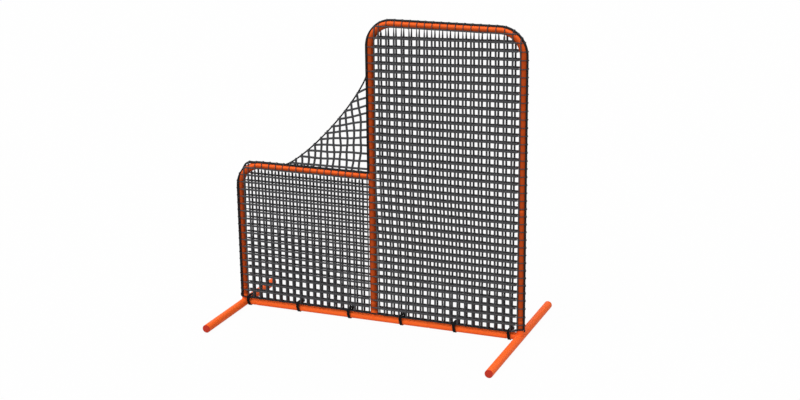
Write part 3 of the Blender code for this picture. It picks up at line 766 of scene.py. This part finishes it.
# How much thicker a crossing is, and how far it reaches along its twines.
CROSSING = 1.12
CROSSING_REACH = 0.0050
TWINE_SIDES = 8
STRAND_SMOOTH = 60
ON_TUBE = TUBE + STRETCHED + 0.0006
# Mesh of each panel, across and up, and the stray of its crossings. The first column's distance
# from the left tube, and the first row's height or its drop below the wing bar.
TALL_MESH = (0.0469, 0.0467)
WING_MESH = (0.0459, 0.0460)
TALL_FIRST = (0.011, 1.7931)
WING_FIRST = (0.015, 0.0125)
STRAY = 0.001
# The hem hangs below its CAD rope by these lengths, front and back, as both hems are one
# line in the photo. The lacing lifts its right end.
HEM_Z = middle("hem_rope_front").z
HEM_DROP = {-1: 0.0045, 1: 0.019}
LACED_UP = 0.017
LACED_ALONG = 0.045
# The pulls below count heights as if the hem lay at 64.3 mm, and their share from 80 mm
# inside one tube to 80 mm inside the other.
LIFT = HEM_Z - 0.0643
PULL_INSET = 0.080
# The front sheet's first column keeps its distance from the tube. A sheet billows a little,
# and the wing's seam stands off its bend like an ear.
RIM_TWINE = 0.0350
BILLOW = 0.0022
EAR = 0.012
FOLD_STEPS = 9
# A wave texture has ten radians to its unit.
WAVE_UNIT = 2 * pi / 10
shake = random.Random(7)

twine_black, tree, surface = new_material("dipped_nylon_twine", {"Roughness": 0.75,
                                                                 "Specular IOR Level": 0.4})
# Three twisted yarns with a groove between them every 3 mm, drawn at 8 mm to show.
lay = strand_place(tree, 3 * WAVE_UNIT, WAVE_UNIT / 0.008)
yarns = add_node(tree, "ShaderNodeTexWave", {"bands_direction": "DIAGONAL", "Scale": 1.0,
                                             "Distortion": 0.0}, [("Vector", lay)]).outputs["Fac"]
tree.links.new(two_tones(tree, "#262628", "#48484B", yarns), surface.inputs["Base Color"])
bump_by(tree, surface, 0.7, 0.0012, yarns)


# The hung net isn't square. Each panel's pull says, in mm, how far both sheets are drawn across
# and up, and how much further the back one is. The share runs from left to right. The amounts
# are rounded from measurements of the mesh in the photo.
def tall_pull(share, height):
    """The left side sags towards the top, the right at mid height, and the hem pulls down."""
    upper = smooth(0.4, 1.0, height)
    across = 2 + 14 * (1 - share) * (1 - upper) - 7 * upper * sin(pi * share ** 2)
    left = -9 - 18 * smooth(0.2, 1.5, height)
    right = -12 * sin(pi * min(max((height - 0.2) / 1.6, 0), 1))
    up = left * (1 - share) + right * share - 12 * (1 - smooth(0.12, 0.25, height))
    inner = smooth(0.15, 0.5, share)
    back_across = -5 + 7 * inner - 8 * inner * (1 - smooth(0.12, 0.45, height))
    back_up = -10 * max(0, 1 - height / 1.78)
    return across, up * (1 - smooth(1.73, 1.78, height)), back_across, back_up


def wing_pull(share, height):
    """The wing's net hangs nearly straight, but its back sheet is drawn to the left."""
    hem = 1 - smooth(0.12, 0.20, height)
    above_hem = smooth(0.14, 0.24, height) * (1 - smooth(0.24, 0.45, height))
    up = (7 - 9 * share) * above_hem - (5 + 8 * share) * hem
    back_across = (-13 + 7 * share ** 2) * (1 - 0.85 * smooth(0.35, 0.85, height))
    back_up = -11 * max(0, 1 - height / 0.85) ** 2
    return 2 - 6 * share, up, back_across, back_up


def no_ear(turn):
    """The tall panel's seam lies close round its bends."""
    return 0.0


def wing_ear(turn):
    """How far the seam stands off the wing's bend, where the net is sewn to a square corner."""
    return EAR * smooth(42, 58, turn) * smooth(80, 62, turn)


class Sheets:
    """Front and back sheets of net over one panel, and the fold where they meet."""

    def __init__(self, span, top, folded, mesh, first, pull, ear):
        self.left, self.right = span
        self.top, self.ear, self.pull = top, ear, pull
        self.folded = [(base, side) for base, side in ((self.left, -1), (self.right, 1))
                       if side in folded]
        first_x, first_z = first
        self.columns = []
        while first_x + mesh[0] * len(self.columns) < self.right:
            self.columns.append(first_x + mesh[0] * len(self.columns))
        self.rows = []
        while first_z - mesh[1] * len(self.rows) > HEM_Z + mesh[1] * 0.7:
            self.rows.append(first_z - mesh[1] * len(self.rows))
        self.rows.append(HEM_Z)
        self.piece = Piece()
        self.nodes = {(face, column, row): self.hang(face, column, row) for face in (-1, 1)
                      for column in range(len(self.columns)) for row in range(len(self.rows))}

    def hang(self, face, column, row):
        """Where a crossing lies: the net hangs a little uneven between the tubes."""
        x, z = self.columns[column], self.rows[row]
        share = (x - self.left - PULL_INSET) / (self.right - self.left - 2 * PULL_INSET)
        both = self.pull(min(max(share, 0), 1), z - LIFT)
        across = (both[0] + both[2] * face / 2) / 1000 + shake.uniform(-STRAY, STRAY)
        up = (both[1] + both[3] * face / 2) / 1000 + shake.uniform(-STRAY, STRAY)
        if column == 0 and face < 0:
            x, across = self.left + RIM_TWINE, 0
        if column == len(self.columns) - 1:
            across = 0
        if row == len(self.rows) - 1:
            up = self.hem_rise(x) - HEM_DROP[face]
        billow = BILLOW * sin(3.0 * x + 2.0 * z + face) * smooth(0, 0.10, self.top - z)
        point = Vector((x + across, 0, z + up))
        point.y = face * (self.depth(point.x, point.z) + billow)
        return point

    def hem_rise(self, x):
        """The lacing lifts the hem at the right upright, clear of the weld."""
        if (self.right, 1) not in self.folded:
            return 0.0
        return LACED_UP * smooth(self.right - LACED_ALONG, self.right, x)

    def from_line(self, x, z):
        """How far a place lies outside the tubes' centre line, and the fold's reach there."""
        up = z - (self.top - BEND)
        for base, side in self.folded:
            out = side * (x - base) + BEND
            if out > 0 and up > 0:
                return hypot(out, up) - BEND, ON_TUBE + self.ear(degrees(atan2(up, out)))
        return max([z - self.top] + [side * (x - base) for base, side in self.folded]), ON_TUBE

    def depth(self, x, z):
        """How far the sheet stands off the middle plane, down to nothing at the fold."""
        beyond, reach = self.from_line(x, z)
        return ON_TUBE * sqrt(max(1 - (max(beyond, 0) / reach) ** 2, 0))

    def thickness(self, point):
        """Radius of the twine, thinner where it is stretched over a tube or laced to the hem."""
        x, z = point.x, point.z
        gap = abs(self.from_line(x, z)[0])
        if z < self.top - BEND:
            gap = min(gap, abs(x - self.left), abs(x - self.right))
        hem = HEM_Z - HEM_DROP[1 if point.y > 0 else -1]
        loose = smooth(TUBE * 0.80, TUBE * 1.20, gap) * smooth(0.0005, 0.0040, z - hem)
        return STRETCHED + (TWINE - STRETCHED) * loose

    def fold(self, start, way):
        """Points from a last crossing, round the tube to where the two sheets meet."""
        near, far = 0.0, 0.2
        # Halve the way until the fold's reach is met.
        for _ in range(24):
            half = (near + far) / 2
            beyond, reach = self.from_line(start.x + way.x * half, start.z + way.z * half)
            near, far = (half, far) if beyond < reach else (near, half)
        points = []
        for step in range(1, FOLD_STEPS + 1):
            along = near * sin(step / FOLD_STEPS * pi / 2)
            x, z = start.x + way.x * along, start.z + way.z * along
            points.append(Vector((x, (1 if start.y > 0 else -1) * self.depth(x, z), z)))
        points[-1].y = 0
        return points

    def inside(self, point):
        """Whether a crossing lies on the panel and not on its fold."""
        beyond, reach = self.from_line(point.x, point.z)
        return beyond < reach * 0.6

    def strand(self, path, crossings, along_tube=False):
        """One twine, thicker at its crossings, with a point each side of them."""
        if along_tube:
            self.piece.sweep(path, RIM_RADIUS, TWINE_SIDES)
            return
        points, radii = [], []
        for index, point in enumerate(path):
            radius = self.thickness(point)
            if index not in crossings:
                points.append(point)
                radii.append(radius)
                continue
            for way in (-1, 0, 1):
                if not way:
                    points.append(point)
                    radii.append(radius * CROSSING)
                elif 0 <= index + way < len(path):
                    step = path[index + way] - point
                    if step.length > CROSSING_REACH * 2.2:
                        points.append(point + step.normalized() * CROSSING_REACH)
                        radii.append(self.thickness(points[-1]))
                    if way > 0 and step.length > 0.02:
                        edge = self.tube_edge(point, path[index + way])
                        points += edge
                        radii += [self.thickness(spot) for spot in edge]
        self.piece.sweep(points, radii, TWINE_SIDES)

    def tube_edge(self, start, end):
        """Extra points where a twine runs on or off a tube between two crossings."""
        spots = [start.lerp(end, share) for share in (0.3, 0.45, 0.6, 0.75)]
        thin = [self.thickness(spot) for spot in spots]
        return spots if max(thin) - min(thin) > 0.0002 else []

    def add_row(self, row, open_left, open_right):
        """One level twine, round both sheets; it ends on the middle upright where it is open."""
        columns = range(len(self.columns))
        sheet = {face: [self.nodes[face, column, row] for column in columns
                        if self.inside(self.nodes[face, column, row])] for face in (-1, 1)}
        for face in (-1, 1):
            ends = {-1: sheet[face][0], 1: sheet[face][-1]}
            path = []
            for side, is_open in ((-1, open_left), (1, open_right)):
                if is_open:
                    base = self.left if side < 0 else self.right
                    path.append([Vector((base, face * ON_TUBE, ends[side].z))])
                else:
                    path.append(self.fold(ends[side], X * side))
            before, after = path[0][::-1], path[1]
            crossings = set(range(len(before), len(before) + len(sheet[face])))
            self.strand(before + sheet[face] + after, crossings, row == 0)

    def add_column(self, column):
        """One upright twine from hem to fold on each sheet."""
        for face in (-1, 1):
            kept = [self.nodes[face, column, row] for row in range(len(self.rows))
                    if self.inside(self.nodes[face, column, row])][::-1]
            self.strand(kept + self.fold(kept[-1], Z), set(range(len(kept))),
                        column in (0, len(self.columns) - 1))


tall = Sheets((MIDDLE, RIGHT), TOP_Z, (-1, 1), TALL_MESH,
              (MIDDLE + TALL_FIRST[0], TALL_FIRST[1] + LIFT), tall_pull, no_ear)
for row, z in enumerate(tall.rows):
    tall.add_row(row, z < WING_Z + ON_TUBE, False)
for column in range(len(tall.columns)):
    tall.add_column(column)
tall.piece.build("tall_netting", twine_black, "frame", ["tall_net"], STRAND_SMOOTH)

wing = Sheets((LEFT, MIDDLE), WING_Z, (-1,), WING_MESH,
              (LEFT + WING_FIRST[0], WING_Z - WING_FIRST[1]), wing_pull, wing_ear)
for row in range(len(wing.rows)):
    wing.add_row(row, False, True)
for column in range(len(wing.columns)):
    wing.add_column(column)
wing.piece.build("wing_netting", twine_black, "frame", ["wing_net"], STRAND_SMOOTH)


# Corner web. A single sheet of the same net fills the inner corner, stretched to a rope
# along its hollow edge, so its twines lean and bow towards the rope.

# The web's twine is drawn thicker still, to give this single layer its tone in the photo.
WEB_TWINE = 0.0066
WEB_SEAM = 0.0030
WEB_SEAM_TOP = 0.44
# How far from the corner the rope meets the wing bar and the upright, and how hollow it is.
web_corner = Vector((MIDDLE - ON_TUBE, 0, WING_Z + ON_TUBE))
WEB_ACROSS = web_corner.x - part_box("web_net")[0].x + 0.004
WEB_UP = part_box("web_net")[1].z - web_corner.z + 0.004
WEB_HOLLOW = 0.83
# Rows up and columns out from the corner, and where the first ones start.
WEB_COURSES = 11
WEB_ROW_START = 0.017
WEB_ROW_PITCH = 0.0478
WEB_COLUMN_START = 0.061
WEB_COLUMN_PITCH = 0.0413
WEB_STEP = 0.006


def rope_height(across):
    """Height of the hollow edge above the wing bar, at a distance from the upright."""
    share = min(max(across / WEB_ACROSS, 0), 1)
    return WEB_UP * (1 - share ** WEB_HOLLOW) ** (1 / WEB_HOLLOW)


def web_row(course, across):
    """A cross twine's height: it sinks towards the rope, and the higher ones sink more."""
    start = WEB_ROW_START + WEB_ROW_PITCH * course
    fall = 0.01 + 0.5 * (start / 0.5) ** 1.8
    return start - fall * across + 0.002 * sin(across * 30 + course * 2) * min(1, course)


def web_column(course, up):
    """An upright twine's distance from the upright: it leans in, and out again at the rope."""
    start = WEB_COLUMN_START + WEB_COLUMN_PITCH * course
    share = min(1, up / rope_height(start))
    near = max(0, 1 - start / 0.2)
    lean = (0.012 + 0.014 * near) * (1 - (1 - share) ** 4)
    return start - lean + 0.036 * near * share ** 5 + 0.0025 * sin(up * 36 + course * 2)


def web_strand(piece, spots, radius):
    """One twine of the web through (across, up) spots, as far as the rope."""
    path = []
    for across, up in spots:
        path.append(Vector((web_corner.x - across, 0.001 * sin(across * 40 + up * 55),
                            web_corner.z + up)))
        if across >= WEB_ACROSS or up > rope_height(across):
            break
    piece.sweep(path, radius, TWINE_SIDES)


piece = Piece()
steps = [WEB_STEP * number for number in range(100)]
for course in range(WEB_COURSES):
    web_strand(piece, [(step, web_row(course, step)) for step in steps], WEB_TWINE)
for course in range(WEB_COURSES):
    web_strand(piece, [(web_column(course, step), step) for step in steps], WEB_TWINE)
web_strand(piece, [(WEB_SEAM, step) for step in steps if step < WEB_SEAM_TOP], WEB_SEAM)
piece.build("web_netting", twine_black, "frame", ["web_net"], STRAND_SMOOTH)


# Ropes. Black braided polypropylene: one laced along the frame's outside beside the net's
# border twine, one in the web's hollow edge, and one in the hem of each sheet.

EDGE_ROPE = 0.0038
BORDER_TWINE = 0.0034
WEB_ROPE = 0.0046
HEM_ROPE = 0.0042
ROPE_SIDES = 10
LAID_ON = 0.0002
EDGE_STEP = 0.02
BEND_TURN = 5

rope_black, tree, surface = new_material("braided_polypropylene_rope",
                                         {"Roughness": 0.6, "Specular IOR Level": 0.15})
# Braid with four strands round its face, each about 5 mm long between its crossings.
plaits = add_node(tree, "ShaderNodeTexVoronoi", {"Scale": 1.0},
                  [("Vector", strand_place(tree, 4, 1 / 0.005))]).outputs["Distance"]
tree.links.new(two_tones(tree, "#1B1B1D", "#09090A", plaits), surface.inputs["Base Color"])
bump_by(tree, surface, 0.7, 0.001, plaits)


def eased(marks, step):
    """A smooth line through marks, as points about a step apart."""
    ends = [marks[0] * 2 - marks[1]] + marks + [marks[-1] * 2 - marks[-2]]
    line = []
    for a, b, c, d in zip(ends, ends[1:], ends[2:], ends[3:]):
        count = max(1, round((c - b).length / step))
        for index in range(count):
            t = index / count
            line.append(((b * 2) + (c - a) * t + (a * 2 - b * 5 + c * 4 - d) * t ** 2
                         + (b * 3 - a - c * 3 + d) * t ** 3) * 0.5)
    return line + [marks[-1]]


def steps_between(start, end):
    """Even steps from a start to an end, with both of them."""
    count = round(abs(end - start) / EDGE_STEP)
    return [start + (end - start) * index / count for index in range(count + 1)]


def round_edge(sheets, reach, turned, low_left, low_right):
    """A cord round the outside of a panel, at its angles from the front on each stretch.

    It starts at low_left on the left tube and ends at low_right on the right one. Where one
    of these is None, that side of the panel has no cord.
    """
    at_left, over_top, at_right = turned
    path = []

    def on_tube(x, z, outward, from_front, stand_off=0.0):
        out = (reach + stand_off) * sin(radians(from_front))
        return Vector((x, -reach * cos(radians(from_front)), z)) + outward * out

    def bend_side(base, side, at_side):
        arc = []
        for turn in range(0, 91, BEND_TURN):
            outward = Vector((side * cos(radians(turn)), 0, sin(radians(turn))))
            centre = Vector((base - side * BEND, 0, sheets.top - BEND)) + outward * BEND
            from_front = at_side + (over_top - at_side) * smooth(0, 70, turn)
            arc.append(on_tube(centre.x, centre.z, outward, from_front, sheets.ear(turn)))
        return arc

    high = sheets.top - BEND
    if low_left is not None:
        path += [on_tube(sheets.left, z, -X, at_left) for z in steps_between(low_left, high)[:-1]]
        path += bend_side(sheets.left, -1, at_left)
    start = sheets.left + BEND if path else sheets.left
    stop = sheets.right - BEND if low_right is not None else sheets.right - TUBE
    path += [on_tube(x, sheets.top + 0.0006 * sin(index * 2.7), Z, over_top)
             for index, x in enumerate(steps_between(start, stop)) if index]
    if low_right is not None:
        path += bend_side(sheets.right, 1, at_right)[::-1][1:]
        path += [on_tube(sheets.right, z, X, at_right) for z in steps_between(high, low_right)[1:]]
    return path


# Each edge: its ends' heights, and the angles of its rope and of its border twine.
for sheets, name, node, lows, rope_turns, border_turns in (
        (wing, "wing_edge_rope", "wing_net", (HEM_Z, None), (34, 58, 61), (8, 82, 82)),
        (tall, "tall_edge_rope", "tall_net", (WING_Z + ON_TUBE, HEM_Z + LACED_UP),
         (54, 60, 61), (24, 84, 82))):
    piece = Piece()
    for radius, turns, sides in ((EDGE_ROPE, rope_turns, ROPE_SIDES),
                                 (BORDER_TWINE, border_turns, TWINE_SIDES)):
        piece.sweep(round_edge(sheets, TUBE + radius + LAID_ON, turns, *lows), radius, sides)
    piece.build(name, rope_black, "frame", [node], STRAND_SMOOTH)

# The web's rope runs along the curve that its twines end on.
WEB_ROPE_MARKS = 30
marks = []
for index in range(WEB_ROPE_MARKS + 1):
    turn = index / WEB_ROPE_MARKS * pi / 2
    mark = Vector((web_corner.x - WEB_ACROSS * cos(turn) ** (2 / WEB_HOLLOW), 0,
                   web_corner.z + WEB_UP * sin(turn) ** (2 / WEB_HOLLOW)))
    if not marks or (mark - marks[-1]).length > 0.008:
        marks.append(mark)
piece = Piece()
piece.sweep(eased(marks, 0.010), WEB_ROPE, ROPE_SIDES)
piece.build("web_edge_rope", rope_black, "frame", ["web_rope"], STRAND_SMOOTH)

# The hem ropes dip a little at each mesh and turn round the uprights at both ends.
HEM_MARKS = 59
HEM_DIP = 0.0008
for face, node in ((-1, "hem_rope_front"), (1, "hem_rope_back")):
    rope_z = middle(node).z - HEM_DROP[face]
    lie = TUBE + HEM_ROPE + 0.0004
    marks = [Vector((LEFT - lie * 0.98, face * 0.004, rope_z + 0.012)),
             Vector((LEFT - lie * 0.7, face * lie * 0.7, rope_z + 0.004))]
    for index in range(HEM_MARKS + 1):
        x = LEFT + (RIGHT - LEFT) * index / HEM_MARKS
        dip = HEM_DIP * sin(2 * pi * x / TALL_MESH[0])
        marks.append(Vector((x, face * lie, rope_z + tall.hem_rise(x) + dip)))
    marks += [Vector((RIGHT + lie * 0.7, face * lie * 0.7, rope_z + 0.018)),
              Vector((RIGHT + lie * 0.98, face * 0.004, rope_z + 0.020))]
    piece = Piece()
    piece.sweep(eased(marks, 0.012), HEM_ROPE, ROPE_SIDES)
    piece.build(node + "_braid", rope_black, "frame", [node], STRAND_SMOOTH)


# Ball bungees. A doubled loop of 5 mm elastic in a braided black sheath goes round the bar
# and both hems, and is hooked over a black moulded ball at the back.

# Radius of the cord, and how far its two loops lie from the bungee's middle.
CORD = 0.0026
CORD_PLACES = (0.0027, 0.0066)
CORNER = 0.006
UNDER_BAR_STEPS = 12
OVER_BALL_STEPS = 8
BALL_STEPS = 24
BALL_SIDES = 36
PARTING = 0.00025

sheath, tree, surface = new_material("braided_polyester_sheath",
                                     {"Roughness": 0.7, "Specular IOR Level": 0.1})
# Carriers of the sheath cross every 2.5 mm.
carriers = add_node(tree, "ShaderNodeTexChecker", {"Scale": 1.0, "Color1": linear("#161618"),
                                                   "Color2": linear("#0B0B0C")},
                    [("Vector", strand_place(tree, 6, 1 / 0.0025))])
tree.links.new(carriers.outputs["Color"], surface.inputs["Base Color"])
bump_by(tree, surface, 0.4, 0.0004, carriers.outputs["Fac"])

ball_plastic, tree, surface = new_material("moulded_polypropylene_black",
                                           {"Base Color": linear("#121214"), "IOR": 1.49})
# A greyish bloom in patches of a few millimetres takes some of the gloss away.
rough_by(tree, surface, 0.28, 0.42, noise(tree, 0.005, 3))


def rounded_path(points, radius):
    """An open path with its corners drawn as short arcs."""
    path = [points[0]]
    for before, point, after in zip(points, points[1:], points[2:]):
        cut = min(radius, (before - point).length * 0.45, (after - point).length * 0.45)
        start = point + (before - point).normalized() * cut
        end = point + (after - point).normalized() * cut
        for step in range(5):
            share = step / 4
            path.append(start.lerp(point, share).lerp(point.lerp(end, share), share))
    return path + [points[-1]]


for number in range(1, 7):
    cord_node, ball_node = "bungee_%d_cord" % number, "bungee_%d_ball" % number
    low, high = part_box(cord_node)
    centre_x = (low.x + high.x) / 2
    ball = middle(ball_node)
    # Seen from the side, the cord leaves the ball, crosses over both hems, goes down in front,
    # passes under the bar and comes up behind it, where the loop's end holds the ball.
    top = HEM_Z - HEM_DROP[-1] + HEM_ROPE + CORD + 0.0006
    front, back = low.y + CORD, high.y - CORD
    turn_start = Vector((0, back, ball.z - 0.0125))
    outline = [Vector((0, back, ball.z + 0.005)), Vector((0, back, top - CORNER)),
               Vector((0, back - 0.005, top)), Vector((0, front + 0.005, top)),
               Vector((0, front, top - CORNER)), Vector((0, front, BAR_Z + 0.012))]
    reach = TUBE + CORD + 0.0003
    for step in range(1, UNDER_BAR_STEPS):
        turn = pi + step / UNDER_BAR_STEPS * pi
        outline.append(Vector((0, reach * cos(turn), BAR_Z + reach * sin(turn))))
    outline += [Vector((0, back, BAR_Z + 0.010)), turn_start]
    strand_path = rounded_path(outline, CORNER)
    piece = Piece()
    for apart in CORD_PLACES:
        path = [point + X * (centre_x - apart) for point in strand_path]
        for step in range(1, OVER_BALL_STEPS):
            turn = step / OVER_BALL_STEPS * pi
            path.append(turn_start + X * (centre_x - apart * cos(turn)) + Z * apart * sin(turn))
        path += [point + X * (centre_x + apart) for point in strand_path[::-1]]
        piece.sweep(path, CORD, ROPE_SIDES)
    piece.build(cord_node + "_loop", sheath, "frame", [cord_node], STRAND_SMOOTH)

    # The ball's mould leaves a fine parting line round its middle.
    ball_radius = (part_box(ball_node)[1].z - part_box(ball_node)[0].z) / 2
    profile = []
    for step in range(1, BALL_STEPS):
        turn = step / BALL_STEPS * pi - pi / 2
        radius = ball_radius - (PARTING if step == BALL_STEPS // 2 else 0)
        profile.append((radius * cos(turn), radius * sin(turn)))
    piece = Piece()
    add_turned(piece, ball, Z, X, profile, BALL_SIDES)
    piece.build(ball_node + "_moulding", ball_plastic, "frame", [ball_node])
